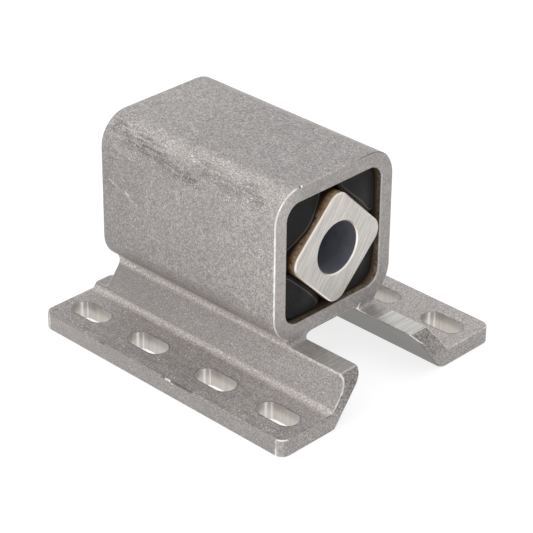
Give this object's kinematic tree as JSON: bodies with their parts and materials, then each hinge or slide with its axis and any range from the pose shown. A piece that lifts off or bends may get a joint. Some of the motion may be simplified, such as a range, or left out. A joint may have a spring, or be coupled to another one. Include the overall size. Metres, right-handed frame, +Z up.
{
  "type": "motor mount bracket",
  "caption": "Square tube housing on splayed slotted feet, holding a bored square core in corner rubber inserts so that it twists under a motor's pull and springs back.",
  "frame": {"origin": "on the floor at the middle of the feet's footprint", "axes": "+X along the core's bore towards the longer overhang of the feet, +Y across the feet, +Z up"},
  "size_m": [0.123, 0.11, 0.08],
  "materials": {
    "housing_alloy": "tumbled extrusion, dull grey, milled flats brushed",
    "core_steel": "ground end faces, stained sides",
    "insert_rubber": "matte black rubber"
  },
  "bodies": {
    "mount": {"housing": "housing_alloy", "rubber_insert_upper_right": "insert_rubber", "rubber_insert_upper_left": "insert_rubber", "rubber_insert_lower_left": "insert_rubber", "rubber_insert_lower_right": "insert_rubber"},
    "core": {"square_core": "core_steel"}
  },
  "joints": [
    {"name": "core_twist", "type": "hinge", "parent": "mount", "child": "core", "pos_m": [-0.0113, 0, 0.05], "axis": [1, 0, 0], "range_deg": [-30, 30], "stiffness_Nm_per_rad": 80, "deforming": ["rubber_insert_upper_right", "rubber_insert_upper_left", "rubber_insert_lower_left", "rubber_insert_lower_right"]}
  ]
}
